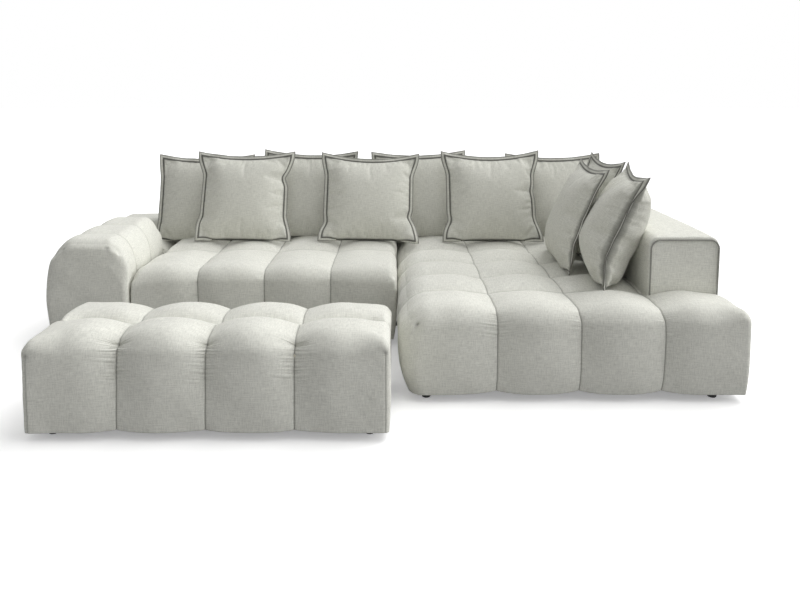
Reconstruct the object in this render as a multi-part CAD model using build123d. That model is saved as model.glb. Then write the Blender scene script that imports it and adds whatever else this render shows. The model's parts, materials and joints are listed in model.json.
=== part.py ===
"""Corner sofa: a tufted seat with a bolster arm, a tufted chaise with a side block, a low back,
a footstool that stands free, and ten loose cushions with flat flanged edges.

Millimetres. +X is to the right seen from the front, +Y to the back, +Z up.
The origin is on the floor, at the middle of the whole set's footprint.
"""
import os
from dataclasses import dataclass
from math import asin, cos, radians, sin, sqrt, tan

from build123d import *

os.makedirs("parts", exist_ok=True)

# Plan sizes
ARM_WIDTH = 440
SEAT_WIDTH = 1458
CHAISE_WIDTH = 1577
CHAISE_DEPTH = 1840  # chaise front to the rear of the back
SEAT_DEPTH = 1160  # seat front to the rear of the back
BACK_THICKNESS = 257
STOOL_WIDTH = 1469
STOOL_DEPTH = 560
STOOL_LEAD = 330  # the stool's front stands this far before the chaise's
STOOL_SIDE_GAP = 29  # between the stool's right end and the line of the chaise's left side
ARM_LEAD = 25  # the arm's front stands this far before the seat's
BLOCK_WIDTH = 335
BLOCK_INSET = 22  # from the chaise's outer side
BLOCK_SETBACK = 270  # chaise front to the side block's front

# Heights
FABRIC_BOTTOM = 38
SEAT_TOP = 452
STOOL_TOP = 447
ARM_TOP = 612
ARM_LOW_TOP = 440  # behind the third roll
BACK_TOP = 542
BLOCK_TOP = 702
BLOCK_SEAT = 394  # underside of the side block, let into the chaise

# Tufts
SEAT_COLUMNS = 4
CHAISE_COLUMNS = 4
STOOL_COLUMNS = 4
CHAISE_FIRST_COLUMN = 445  # the columns at the ends are wider
CHAISE_COLUMN = 372
STOOL_FIRST_COLUMN = 371
STOOL_COLUMN = 356
SEAT_FIRST_ROW = 505
CHAISE_FIRST_ROW = 345
CHAISE_ROW_SEAMS = 4
ROW_PITCH = 282
STOOL_FIRST_ROW = 290
COLUMN_SEAM_DEPTH = 26
ROW_SEAM_DEPTH = 22
STOOL_ROW_DEPTH = 46
CROSSING_EXTRA = 14  # seams lie deeper still where they cross
FACE_SEAM_DEPTH = 24  # column seams on the upright faces
NOSE = 85  # radius over the front edge
FACE_LEAN = 6
UNDERCUT = 30
SOFT_END_LENGTH = 150  # over which the stool's ends and the chaise's open side round off
SOFT_END_INSET = 14  # how far their front faces are drawn in
SOFT_END_DROP = 96  # how far their tops come down
FIRM_END_LENGTH = 75  # the chaise's outer side, under the side block
FIRM_END_INSET = 12
FIRM_END_DROP = 55

# Arm rolls
ARM_FIRST_ROLL = 175
ARM_ROLL = 270
ARM_ROLLS = 3
ARM_SEAM_DEPTH = 26
ARM_CORNER = 120
ARM_CROWN = 12
ARM_SWELL = 20  # of its outer side
ARM_FACE_LENGTH = 75  # over which the arm rounds off to its front face
ARM_FACE_INSET = 16
ARM_FACE_DROP = 44
ARM_TAIL_LENGTH = 68  # and down to the low stretch behind its rolls
ARM_TAIL_INSET = 48
ARM_TAIL_DROP = 72

# Back and side block
BACK_CORNER = 45
BACK_CROWN = 11
BACK_END_LENGTH = 68
BACK_END_PULL = 27  # how far the back's free ends are drawn in
BLOCK_CORNER = 45
BLOCK_CROWN = 8
BLOCK_SWELL = 4  # of its outer side
WELT_RADIUS = 4

# Loose cushions
CUSHION_WIDTH = 640
CUSHION_HEIGHT = 595
CUSHION_THICKNESS = 160
FLANGE_WIDTH = 25
FLANGE_THICKNESS = 6
DRAWN_IN = 18
CUSHION_RIM = 4  # half thickness of the filled body where it meets the flange
CUSHION_STATIONS = (-1, -0.8, -0.4, 0, 0.4, 0.8, 1)  # shares of the half width that are lofted through
CROWN_FLATNESS = 2.4  # how long the crown stays level towards the sides
CROWN_FULLNESS = 0.8  # below 1 the crown falls off late
BACK_LEAN = 20
ROW_SPACING = 152  # between the mid planes of the two rows, square to them
SOFT_GAP = 0.3
REAR_PLACES = (185, 867, 1612, 2519)  # middles, from the seat's left end
FRONT_PLACES = (470, 1282, 2070)
SIDE_PLACES = (  # from touching the side block, from the chaise's front, and turn and lean in degrees
    (20, 566, -9, 21),
    (166, 875, -3, 21),
    (1, 1148, 0, 21),
)

# Base frames
POCKET_WALL = 56  # padding between the outer face and the timber
POCKET_REAR_WALL = 20
POCKET_TOP = 342
RAIL_THICKNESS = 45
RAIL_HEIGHT = 160
STRAP_WIDTH = 60
STRAP_THICKNESS = 3
STRAP_PITCH = 130
CLOTH_THICKNESS = 2
STOOL_BAYS = 2  # between cross rails
SEAT_BAYS = 2
CHAISE_BAYS = 3
ARM_BAYS = 2
BOARD = 18
POST = 40
POST_PITCH = 420

# Feet
FOOT_HEIGHT = 59
FOOT_TOP_RADIUS = 23
FOOT_BOTTOM_RADIUS = 20
FOOT_EDGE = 2
STOOL_FOOT_INSET = 86
SOFA_FOOT_INSET = 132
FOOT_MARGIN = 5  # between a foot and the padding in front of it
SCREW_RADIUS = 2.5
SCREW_HEAD_RADIUS = 5
SCREW_HEAD_HEIGHT = 4
SCREW_RECESS_RADIUS = 6
SCREW_RECESS = 16
SCREW_BITE = 35  # length in the rail
SCREW_CLEARANCE = 0.2

# Module connectors
CONNECTOR_WIDTH = 70
CONNECTOR_PLATE = 4
CONNECTOR_SLOT = 14
CONNECTOR_TOOTH = 8
CONNECTOR_REACH = 24  # of each plate past the padding
CONNECTOR_INSETS = (230, 730)  # from the seat's front
TOOTH_CLEARANCE = 1
NOTCH_CLEARANCE = 6

# Derived places
ARM_LEFT = -(ARM_WIDTH + SEAT_WIDTH + CHAISE_WIDTH) / 2
SEAT_LEFT = ARM_LEFT + ARM_WIDTH
CHAISE_LEFT = SEAT_LEFT + SEAT_WIDTH
CHAISE_RIGHT = CHAISE_LEFT + CHAISE_WIDTH
STOOL_RIGHT = CHAISE_LEFT - STOOL_SIDE_GAP
STOOL_LEFT = STOOL_RIGHT - STOOL_WIDTH
STOOL_FRONT = -(STOOL_LEAD + CHAISE_DEPTH) / 2
CHAISE_FRONT = STOOL_FRONT + STOOL_LEAD
BACK_REAR = CHAISE_FRONT + CHAISE_DEPTH
BACK_FRONT = BACK_REAR - BACK_THICKNESS
SEAT_FRONT = BACK_REAR - SEAT_DEPTH
ARM_FRONT = SEAT_FRONT - ARM_LEAD
BLOCK_RIGHT = CHAISE_RIGHT - BLOCK_INSET
BLOCK_LEFT = BLOCK_RIGHT - BLOCK_WIDTH
BLOCK_FRONT = CHAISE_FRONT + BLOCK_SETBACK
CLOTH_BOTTOM = FOOT_HEIGHT
RAIL_BOTTOM = CLOTH_BOTTOM + CLOTH_THICKNESS
RAIL_TOP = RAIL_BOTTOM + RAIL_HEIGHT
STRAP_TOP = RAIL_TOP + STRAP_THICKNESS


def keep(name, *solids):
    """Write one named piece, or one group of like pieces."""
    export_step(Compound(list(solids)), f"parts/{name}.step")


def block(x0, x1, y0, y1, z0, z1):
    """A box between two corners."""
    return Pos((x0 + x1) / 2, (y0 + y1) / 2, (z0 + z1) / 2) * Box(x1 - x0, y1 - y0, z1 - z0)


def even(first, last, pitch):
    """Places from first to last, evenly spaced, about pitch apart."""
    steps = max(1, round((last - first) / pitch))
    return [first + (last - first) * i / steps for i in range(steps + 1)]


# Tufted pads: each column between two seams is lofted through upright sections


@dataclass
class End:
    length: float  # over which the end rounds off
    inset: float
    drop: float

    def section(self, make_tip):
        """Sections by pull alone, 0 where the end begins and 1 at its tip."""
        return lambda place, pull: make_tip(place, self.inset * pull, self.drop * pull)


SOFT_END = End(SOFT_END_LENGTH, SOFT_END_INSET, SOFT_END_DROP)
FIRM_END = End(FIRM_END_LENGTH, FIRM_END_INSET, FIRM_END_DROP)
ARM_FACE = End(ARM_FACE_LENGTH, ARM_FACE_INSET, ARM_FACE_DROP)
ARM_TAIL = End(ARM_TAIL_LENGTH, ARM_TAIL_INSET, ARM_TAIL_DROP)


@dataclass
class Pad:
    columns: list  # X of the left end, the seams and the right end
    front: float
    rear: float
    rows: list  # Y of the seams that cross the top
    top: float
    row_depth: float
    left_end: End  # None where a neighbour closes the pad
    right_end: End
    free_rear: bool


def falling_arc(crest, seam):
    """The arc that leaves a crest level and comes down to a seam, with its middle point."""
    run = seam[0] - crest[0]
    drop = crest[1] - seam[1]
    radius = (run * run + drop * drop) / (2 * drop)
    half = asin(run / radius) / 2
    return crest, (crest[0] + radius * sin(half), crest[1] - radius * (1 - cos(half))), seam


def pad_section(pad, x, seam, inset=0.0, drop=0.0):
    """The upright section of a pad at x; seam is 0 on a column's crown and 1 on its seam."""
    top = pad.top - drop
    crest = top - COLUMN_SEAM_DEPTH * seam
    valley = top - pad.row_depth - CROSSING_EXTRA * seam
    face = inset + FACE_SEAM_DEPTH * seam
    diagonal = NOSE * (1 - sqrt(0.5))
    shoulder = crest - NOSE
    waist = (FABRIC_BOTTOM + shoulder) / 2

    def upright(edge, inward):
        """Bottom, waist, shoulder, nose and crest of a free face, from the floor up."""
        return [
            (edge + inward * UNDERCUT, FABRIC_BOTTOM),
            (edge, waist),
            (edge + inward * FACE_LEAN, shoulder),
            (edge + inward * (FACE_LEAN + diagonal), crest - diagonal),
            (edge + inward * (FACE_LEAN + NOSE), crest),
        ]

    front = upright(pad.front + face, 1)
    arcs = [front[0:3], front[2:5], falling_arc(front[4], (pad.rows[0], valley))]
    for near, far in zip(pad.rows, pad.rows[1:]):
        arcs.append([(near, valley), ((near + far) / 2, crest), (far, valley)])
    last = pad.rows[-1]
    if pad.free_rear:
        rear = upright(pad.rear - face, -1)
        mirrored = falling_arc((-rear[4][0], rear[4][1]), (-last, valley))
        arcs += [[(-y, z) for y, z in reversed(mirrored)], rear[4:1:-1], rear[2::-1]]
        closing = [rear[0], front[0]]
    else:
        arcs.append([(last, valley), ((last + pad.rear) / 2, crest), (pad.rear, valley)])
        closing = [(pad.rear, valley), (pad.rear, FABRIC_BOTTOM), front[0]]
    edges = [ThreePointArc(*[(x, y, z) for y, z in arc]) for arc in arcs]
    for start, end in zip(closing, closing[1:]):
        edges.append(Line((x, *start), (x, *end)))
    return make_face(edges)


def parabola(make, start, end, low, high):
    """A loft from start to end through three sections; its pull goes from low to high as a square."""
    middle = low + (high - low) / 4
    return loft([make(start, low), make((start + end) / 2, middle), make(end, high)])


def swollen_run(make_crown, make_tip, places, first_end, last_end):
    """Crowned lengths between seams, joined into one form.

    make_crown(place, pull) gives a section whose pull is 0 on a crown and 1 on a seam.
    make_tip(place, inset, drop) gives one in a free end, drawn in and down.
    """
    lengths = []
    for number, (near, far) in enumerate(zip(places, places[1:])):
        if number == 0 and first_end:
            crest = near + first_end.length
            lengths.append(parabola(first_end.section(make_tip), crest, near, 0, 1))
            lengths.append(parabola(make_crown, crest, far, 0, 1))
        elif number == len(places) - 2 and last_end:
            crest = far - last_end.length
            lengths.append(parabola(make_crown, crest, near, 0, 1))
            lengths.append(parabola(last_end.section(make_tip), crest, far, 0, 1))
        else:
            lengths.append(loft([make_crown(near, 1), make_crown((near + far) / 2, 0), make_crown(far, 1)]))
    return lengths[0].fuse(*lengths[1:])


def tufted_pad(pad):
    """All the columns of a pad, joined at their seams."""
    return swollen_run(
        lambda x, pull: pad_section(pad, x, pull),
        lambda x, inset, drop: pad_section(pad, x, 0, inset, drop),
        pad.columns,
        pad.left_end,
        pad.right_end,
    )


def evenly_seamed(left, right, count):
    return [left + (right - left) * i / count for i in range(count + 1)]


def end_wide(left, right, first, pitch, count):
    """Column edges where only the inner columns are alike."""
    return [left, *[left + first + pitch * i for i in range(count - 1)], right]


# Base frames: rails in the pad's pocket, straps over them, foam on the straps, a cloth below


@dataclass
class Pocket:
    left: float
    right: float
    front: float
    rear: float

    def box(self, bottom, top):
        return block(self.left, self.right, self.front, self.rear, bottom, top)


def foot_places(pocket, left, right):
    """Foot centres under the two long rails."""
    reach = FOOT_TOP_RADIUS + FOOT_MARGIN
    return [(x, y) for x in (left, right) for y in (pocket.front + reach, pocket.rear - reach)]


def foot(x, y):
    """A turned plastic glide with a recess below for its screw."""
    profile = Polyline(
        (SCREW_RADIUS + SCREW_CLEARANCE, SCREW_RECESS),
        (SCREW_RECESS_RADIUS, SCREW_RECESS),
        (SCREW_RECESS_RADIUS, 0),
        (FOOT_BOTTOM_RADIUS - FOOT_EDGE, 0),
        (FOOT_BOTTOM_RADIUS, FOOT_EDGE),
        (FOOT_TOP_RADIUS, FOOT_HEIGHT),
        (SCREW_RADIUS + SCREW_CLEARANCE, FOOT_HEIGHT),
        close=True,
    )
    turned = revolve(Plane.XZ * make_face(profile), Axis.Z)
    return Pos(x, y, 0) * turned


def foot_screw(x, y):
    """A screw whose head bears on the recess and whose shank ends in the rail."""
    length = RAIL_BOTTOM + SCREW_BITE - SCREW_RECESS
    shank = Pos(x, y, SCREW_RECESS + length / 2) * Cylinder(SCREW_RADIUS, length)
    head_middle = SCREW_RECESS - SCREW_HEAD_HEIGHT / 2
    return shank + Pos(x, y, head_middle) * Cylinder(SCREW_HEAD_RADIUS, SCREW_HEAD_HEIGHT)


def screw_hole(x, y):
    top = RAIL_BOTTOM + SCREW_BITE + SCREW_CLEARANCE
    return Pos(x, y, top / 2) * Cylinder(SCREW_RADIUS + SCREW_CLEARANCE, top)


def base_frame(prefix, pocket, feet, bays):
    """Write rails, straps and cloth; give back the foam block, which others may pass through."""
    holes = [screw_hole(x, y) for x, y in feet]
    inner_front = pocket.front + RAIL_THICKNESS
    inner_rear = pocket.rear - RAIL_THICKNESS
    long_rails = [
        block(pocket.left, pocket.right, y, y + RAIL_THICKNESS, RAIL_BOTTOM, RAIL_TOP) - holes
        for y in (pocket.front, inner_rear)
    ]
    keep(f"{prefix}_long_rails", *long_rails)
    first, end = pocket.left, pocket.right - RAIL_THICKNESS
    cross_rails = [
        block(x, x + RAIL_THICKNESS, inner_front, inner_rear, RAIL_BOTTOM, RAIL_TOP)
        for x in evenly_seamed(first, end, bays)
    ]
    keep(f"{prefix}_cross_rails", *cross_rails)
    reach = STRAP_PITCH / 2 + STRAP_WIDTH / 2
    straps = [
        block(x - STRAP_WIDTH / 2, x + STRAP_WIDTH / 2, pocket.front, pocket.rear, RAIL_TOP, STRAP_TOP)
        for x in even(pocket.left + reach, pocket.right - reach, STRAP_PITCH)
    ]
    keep(f"{prefix}_webbing", *straps)
    keep(f"{prefix}_base_cloth", pocket.box(CLOTH_BOTTOM, RAIL_BOTTOM) - holes)
    keep(f"{prefix}_feet", *[foot(x, y) for x, y in feet])
    return pocket.box(STRAP_TOP, POCKET_TOP)


def pad_pocket(pad, rear_wall):
    return Pocket(
        pad.columns[0] + POCKET_WALL,
        pad.columns[-1] - POCKET_WALL,
        pad.front + POCKET_WALL,
        pad.rear - rear_wall,
    )


# Rolled forms: rounded upright sections set one behind the other


def rolled_section(y, left, right, bottom, top, corner, crown, swell):
    """A section square to Y, with a soft outer side at left and a flat inner side at right."""
    diagonal = corner * (1 - sqrt(0.5))
    level = top - crown
    spring = level - corner
    lean = swell / 4
    arcs = [
        [(right, spring), (right - diagonal, level - diagonal), (right - corner, level)],
        [(right - corner, level), ((left + right) / 2, top), (left + lean + corner, level)],
        [(left + lean + corner, level), (left + lean + diagonal, level - diagonal), (left + lean, spring)],
        [(left + lean, spring), (left, (spring + bottom) / 2), (left + swell, bottom)],
    ]
    edges = [ThreePointArc(*[(x, y, z) for x, z in arc]) for arc in arcs]
    edges.append(Line((left + swell, y, bottom), (right, y, bottom)))
    edges.append(Line((right, y, bottom), (right, y, spring)))
    return make_face(edges)


def back_section(x, pull):
    """The upright section of the low back; pull is 1 at the tip of a free end."""
    front = BACK_FRONT + BACK_END_PULL * pull
    rear = BACK_REAR - BACK_END_PULL * pull
    top = BACK_TOP - BACK_END_PULL * pull
    diagonal = BACK_CORNER * (1 - sqrt(0.5))
    level = top - BACK_CROWN
    side = level - BACK_CORNER
    arcs = [
        [(front, side), (front + diagonal, level - diagonal), (front + BACK_CORNER, level)],
        [(front + BACK_CORNER, level), ((front + rear) / 2, top), (rear - BACK_CORNER, level)],
        [(rear - BACK_CORNER, level), (rear - diagonal, level - diagonal), (rear, side)],
    ]
    edges = [ThreePointArc(*[(x, y, z) for y, z in arc]) for arc in arcs]
    corners = [(rear, side), (rear, FABRIC_BOTTOM), (front, FABRIC_BOTTOM), (front, side)]
    for start, end in zip(corners, corners[1:]):
        edges.append(Line((x, *start), (x, *end)))
    return make_face(edges)


def rounded_back(plain_end, free_end):
    """A length of the low back, rounded over its top and at its free end."""
    inward = BACK_END_LENGTH if plain_end > free_end else -BACK_END_LENGTH
    shoulder = free_end + inward
    plain = loft([back_section(plain_end, 0), back_section(shoulder, 0)], ruled=True)
    return plain.fuse(parabola(back_section, shoulder, free_end, 0, 1))


def back_frame(prefix, left, right):
    """Posts between a sill and a top rail; give back the pocket that holds them."""
    front, rear = BACK_FRONT + POCKET_WALL, BACK_REAR - POCKET_WALL
    top = BACK_TOP - POCKET_WALL
    x0, x1 = left + POCKET_WALL, right - POCKET_WALL
    sill_top = RAIL_BOTTOM + RAIL_THICKNESS
    rail_bottom = top - RAIL_THICKNESS
    keep(
        f"{prefix}_rails",
        block(x0, x1, front, rear, RAIL_BOTTOM, sill_top),
        block(x0, x1, front, rear, rail_bottom, top),
    )
    posts = [
        block(x - POST / 2, x + POST / 2, front, rear, sill_top, rail_bottom)
        for x in even(x0 + POST / 2, x1 - POST / 2, POST_PITCH)
    ]
    keep(f"{prefix}_posts", *posts)
    return block(x0, x1, front, rear, FABRIC_BOTTOM, top)


# Footstool
stool_pad = Pad(
    end_wide(STOOL_LEFT, STOOL_RIGHT, STOOL_FIRST_COLUMN, STOOL_COLUMN, STOOL_COLUMNS),
    STOOL_FRONT,
    STOOL_FRONT + STOOL_DEPTH,
    [STOOL_FRONT + STOOL_FIRST_ROW],
    STOOL_TOP,
    STOOL_ROW_DEPTH,
    SOFT_END,
    SOFT_END,
    True,
)
stool_pocket = pad_pocket(stool_pad, POCKET_WALL)
stool_feet = foot_places(stool_pocket, STOOL_LEFT + STOOL_FOOT_INSET, STOOL_RIGHT - STOOL_FOOT_INSET)
keep("stool_foam", base_frame("stool", stool_pocket, stool_feet, STOOL_BAYS))
keep("stool_cover", tufted_pad(stool_pad) - stool_pocket.box(0, POCKET_TOP))
keep("stool_foot_screws", *[foot_screw(x, y) for x, y in stool_feet])

# Connectors between the two modules, under the rails that face each other
notch_half = CONNECTOR_WIDTH / 2 + NOTCH_CLEARANCE
connector_rows = [SEAT_FRONT + inset for inset in CONNECTOR_INSETS]
seat_wall, chaise_wall = CHAISE_LEFT - POCKET_WALL, CHAISE_LEFT + POCKET_WALL
notches = [
    block(seat_wall, chaise_wall, y - notch_half, y + notch_half, 0, RAIL_BOTTOM) for y in connector_rows
]
socket_left = seat_wall - RAIL_THICKNESS
socket_right = seat_wall + CONNECTOR_REACH + CONNECTOR_SLOT
slot_left = seat_wall + NOTCH_CLEARANCE
slot_right = slot_left + CONNECTOR_SLOT
slot_half = CONNECTOR_WIDTH / 2 - CONNECTOR_SLOT
tooth_left = slot_left + (CONNECTOR_SLOT - CONNECTOR_TOOTH) / 2
tooth_right = tooth_left + CONNECTOR_TOOTH
tooth_half = slot_half - TOOTH_CLEARANCE
plate_bottom = CLOTH_BOTTOM - CONNECTOR_PLATE
hook_bottom = plate_bottom - CONNECTOR_PLATE
hook_right = chaise_wall + RAIL_THICKNESS
sockets = []
hooks = []
for y in connector_rows:
    y0, y1 = y - CONNECTOR_WIDTH / 2, y + CONNECTOR_WIDTH / 2
    plate = block(socket_left, socket_right, y0, y1, plate_bottom, CLOTH_BOTTOM)
    slot = block(slot_left, slot_right, y - slot_half, y + slot_half, plate_bottom, CLOTH_BOTTOM)
    sockets.append(plate - slot)
    bar = block(tooth_left, hook_right, y0, y1, hook_bottom, plate_bottom)
    tooth = block(tooth_left, tooth_right, y - tooth_half, y + tooth_half, plate_bottom, CLOTH_BOTTOM)
    pad_under_rail = block(chaise_wall, hook_right, y0, y1, plate_bottom, CLOTH_BOTTOM)
    hooks.append(bar + tooth + pad_under_rail)
keep("connector_sockets", *sockets)
keep("connector_hooks", *hooks)

# Seat
seat_pad = Pad(
    evenly_seamed(SEAT_LEFT, CHAISE_LEFT, SEAT_COLUMNS),
    SEAT_FRONT,
    BACK_FRONT,
    [SEAT_FRONT + SEAT_FIRST_ROW],
    SEAT_TOP,
    ROW_SEAM_DEPTH,
    None,
    None,
    False,
)
seat_pocket = pad_pocket(seat_pad, POCKET_REAR_WALL)
seat_feet = foot_places(seat_pocket, SEAT_LEFT + SOFA_FOOT_INSET, CHAISE_LEFT - SOFA_FOOT_INSET)
seat_cover = tufted_pad(seat_pad)
keep("seat_foam", base_frame("seat", seat_pocket, seat_feet, SEAT_BAYS))
keep("seat_cover", seat_cover - [seat_pocket.box(0, POCKET_TOP), *notches])

# Arm: three rolls, then a low stretch behind them
arm_seams = [ARM_FRONT, *[ARM_FRONT + ARM_FIRST_ROLL + ARM_ROLL * i for i in range(ARM_ROLLS)]]
ARM_REAR = arm_seams[-1]


def arm_section(y, inset, top):
    return rolled_section(
        y, ARM_LEFT + inset, SEAT_LEFT, FABRIC_BOTTOM, top, ARM_CORNER, ARM_CROWN, ARM_SWELL
    )


arm_rolls = swollen_run(
    lambda y, pull: arm_section(y, ARM_SEAM_DEPTH * pull, ARM_TOP - ARM_SEAM_DEPTH * pull),
    lambda y, inset, drop: arm_section(y, inset, ARM_TOP - drop),
    arm_seams,
    ARM_FACE,
    ARM_TAIL,
)
arm_low = loft([arm_section(y, ARM_TAIL_INSET, ARM_LOW_TOP) for y in (ARM_REAR, BACK_FRONT)], ruled=True)
arm_form = arm_rolls.fuse(arm_low)
arm_pocket = Pocket(
    ARM_LEFT + ARM_TAIL_INSET + POCKET_WALL,
    SEAT_LEFT - POCKET_WALL,
    ARM_FRONT + POCKET_WALL,
    BACK_FRONT - POCKET_REAR_WALL,
)
keep("arm_cover", arm_form - arm_pocket.box(0, POCKET_TOP))
arm_panels = [
    block(x, x + BOARD, arm_pocket.front, arm_pocket.rear, RAIL_BOTTOM, POCKET_TOP)
    for x in (arm_pocket.left, arm_pocket.right - BOARD)
]
keep("arm_panels", *arm_panels)
arm_ties = [
    block(arm_pocket.left + BOARD, arm_pocket.right - BOARD, y, y + RAIL_THICKNESS, RAIL_BOTTOM, POCKET_TOP)
    for y in evenly_seamed(arm_pocket.front, arm_pocket.rear - RAIL_THICKNESS, ARM_BAYS)
]
keep("arm_ties", *arm_ties)
keep("arm_base_cloth", arm_pocket.box(CLOTH_BOTTOM, RAIL_BOTTOM))

# Chaise and its side block
chaise_pad = Pad(
    end_wide(CHAISE_LEFT, CHAISE_RIGHT, CHAISE_FIRST_COLUMN, CHAISE_COLUMN, CHAISE_COLUMNS),
    CHAISE_FRONT,
    BACK_FRONT,
    [CHAISE_FRONT + CHAISE_FIRST_ROW + ROW_PITCH * i for i in range(CHAISE_ROW_SEAMS)],
    SEAT_TOP,
    ROW_SEAM_DEPTH,
    SOFT_END,
    FIRM_END,
    False,
)
chaise_pocket = pad_pocket(chaise_pad, POCKET_REAR_WALL)
chaise_feet = foot_places(chaise_pocket, CHAISE_LEFT + SOFA_FOOT_INSET, CHAISE_RIGHT - SOFA_FOOT_INSET)
block_pocket = Pocket(
    BLOCK_LEFT + POCKET_WALL, BLOCK_RIGHT - POCKET_WALL, BLOCK_FRONT + POCKET_WALL, ARM_REAR - POCKET_WALL
)
board_bottom = BLOCK_TOP - POCKET_WALL - BOARD
post_left, post_right = block_pocket.right - POST, block_pocket.right
posts = [
    block(post_left, post_right, y - POST / 2, y + POST / 2, STRAP_TOP, board_bottom)
    for y in even(block_pocket.front + POST, block_pocket.rear - POST, POST_PITCH)
]
chaise_cover = tufted_pad(chaise_pad)
recess = block(BLOCK_LEFT, BLOCK_RIGHT, BLOCK_FRONT, ARM_REAR, BLOCK_SEAT, BLOCK_TOP)
keep("chaise_foam", base_frame("chaise", chaise_pocket, chaise_feet, CHAISE_BAYS) - posts)
keep("chaise_cover", chaise_cover - [chaise_pocket.box(0, POCKET_TOP), recess, *posts, *notches])
keep("side_block_posts", *posts)


def block_section(y):
    return rolled_section(
        y, BLOCK_LEFT, BLOCK_RIGHT, BLOCK_SEAT, BLOCK_TOP, BLOCK_CORNER, BLOCK_CROWN, BLOCK_SWELL
    )


block_form = loft([block_section(BLOCK_FRONT), block_section(ARM_REAR)], ruled=True)
keep("side_block_cover", block_form - block_pocket.box(BLOCK_SEAT, board_bottom + BOARD))
inner_board = block(
    block_pocket.left,
    block_pocket.left + BOARD,
    block_pocket.front,
    block_pocket.rear,
    BLOCK_SEAT,
    board_bottom,
)
keep("side_block_boards", inner_board, block_pocket.box(board_bottom, board_bottom + BOARD))
welt_y = BLOCK_FRONT - WELT_RADIUS - SOFT_GAP
welt_left, welt_right = BLOCK_LEFT + BLOCK_SWELL + WELT_RADIUS, BLOCK_RIGHT - WELT_RADIUS
welt_top = BLOCK_TOP - BLOCK_CROWN - WELT_RADIUS
welt_path = FilletPolyline(
    (welt_left, welt_y, SEAT_TOP),
    (welt_left, welt_y, welt_top),
    (welt_right, welt_y, welt_top),
    (welt_right, welt_y, SEAT_TOP),
    radius=BLOCK_CORNER - WELT_RADIUS,
)
welt_start = Plane((welt_left, welt_y, SEAT_TOP), z_dir=(0, 0, 1))
keep("side_block_welt", sweep(welt_start * Circle(WELT_RADIUS), path=welt_path))

# Back, in one length behind each module
left_pocket = back_frame("left_back", ARM_LEFT, CHAISE_LEFT)
keep("left_back_cover", rounded_back(CHAISE_LEFT, ARM_LEFT) - left_pocket)
right_pocket = back_frame("right_back", CHAISE_LEFT, CHAISE_RIGHT)
keep("right_back_cover", rounded_back(CHAISE_LEFT, CHAISE_RIGHT) - right_pocket)
keep("sofa_foot_screws", *[foot_screw(x, y) for x, y in seat_feet + chaise_feet])


# Loose cushions: a flat flange with drawn-in sides round a crowned, filled body


def cushion():
    """A cushion that stands on its lower edge at the origin, facing -Y."""
    half, height = CUSHION_WIDTH / 2, CUSHION_HEIGHT
    middle = height / 2
    corners = [(-half, 0), (half, 0), (half, height), (-half, height)]
    dips = [(0, DRAWN_IN), (half - DRAWN_IN, middle), (0, height - DRAWN_IN), (DRAWN_IN - half, middle)]
    rim = [
        ThreePointArc((*a, 0), (*dip, 0), (*b, 0))
        for a, dip, b in zip(corners, dips, corners[1:] + corners[:1])
    ]
    plate = extrude(make_face(rim), FLANGE_THICKNESS / 2, both=True)
    reach = half - FLANGE_WIDTH - DRAWN_IN
    sections = []
    for share in CUSHION_STATIONS:
        x = share * reach
        spread = middle - FLANGE_WIDTH - DRAWN_IN * (1 - share * share)
        crown = (1 - abs(share) ** CROWN_FLATNESS) ** CROWN_FULLNESS
        swell = CUSHION_RIM + (CUSHION_THICKNESS / 2 - CUSHION_RIM) * crown
        arcs = [
            ThreePointArc((x, middle - spread, 0), (x, middle, swell), (x, middle + spread, 0)),
            ThreePointArc((x, middle + spread, 0), (x, middle, -swell), (x, middle - spread, 0)),
        ]
        sections.append(make_face(arcs))
    return Rot(90, 0, 0) * (loft(sections) + plate)


def surface_height(x, y, pads):
    """Height of the highest pad under a point."""
    down = Axis((x, y, BLOCK_TOP), (0, 0, -1))
    return max(point.Z for pad in pads for point, _ in pad.find_intersection_points(down))


def stand(place, lean, turn, pads):
    """A cushion that leans back by lean, turned about Z, with its lower edge on the pads."""
    pose = Rot(0, 0, turn) * Rot(-lean, 0, 0)
    rise = []
    for side in (-1, 0, 1):
        for face in (-1, 1):
            sag = DRAWN_IN * (side == 0)
            foot_point = pose * Pos(side * CUSHION_WIDTH / 2, face * FLANGE_THICKNESS / 2, sag)
            x, y, z = foot_point.position
            rise.append(surface_height(place[0] + x, place[1] + y, pads) - z)
    return Pos(*place, max(rise) + SOFT_GAP) * pose * loose_cushion


def touching(edge, corner, level, lean):
    """How far along at seat height a leaning mid plane meets a rounded edge, half a cushion away."""
    away = (corner + CUSHION_THICKNESS / 2 + SOFT_GAP) / cos(radians(lean))
    return edge + corner - away - (level - corner - SEAT_TOP) * tan(radians(lean))


loose_cushion = cushion()
sofa_pads = [seat_cover, chaise_cover, arm_form]
rear_row = touching(BACK_FRONT, BACK_CORNER, BACK_TOP - BACK_CROWN, BACK_LEAN)
front_row = rear_row - ROW_SPACING / cos(radians(BACK_LEAN))
for number, place in enumerate(REAR_PLACES, 1):
    keep(f"rear_cushion_{number}", stand((SEAT_LEFT + place, rear_row), BACK_LEAN, 0, sofa_pads))
for number, place in enumerate(FRONT_PLACES, 1):
    keep(f"front_cushion_{number}", stand((SEAT_LEFT + place, front_row), BACK_LEAN, 0, sofa_pads))
for number, (aside, along, turn, lean) in enumerate(SIDE_PLACES, 1):
    side_row = touching(BLOCK_LEFT, BLOCK_CORNER, BLOCK_TOP - BLOCK_CROWN, lean)
    place = (side_row - aside, CHAISE_FRONT + along)
    keep(f"side_cushion_{number}", stand(place, lean, turn - 90, sofa_pads))
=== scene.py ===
"""Dressed corner sofa: tufted upholstery, flanged cushions, black feet, pale floor, soft light, camera.

Metres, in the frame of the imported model: +X right, +Y back, +Z up.
"""
import json
import math
from dataclasses import dataclass, field

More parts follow.
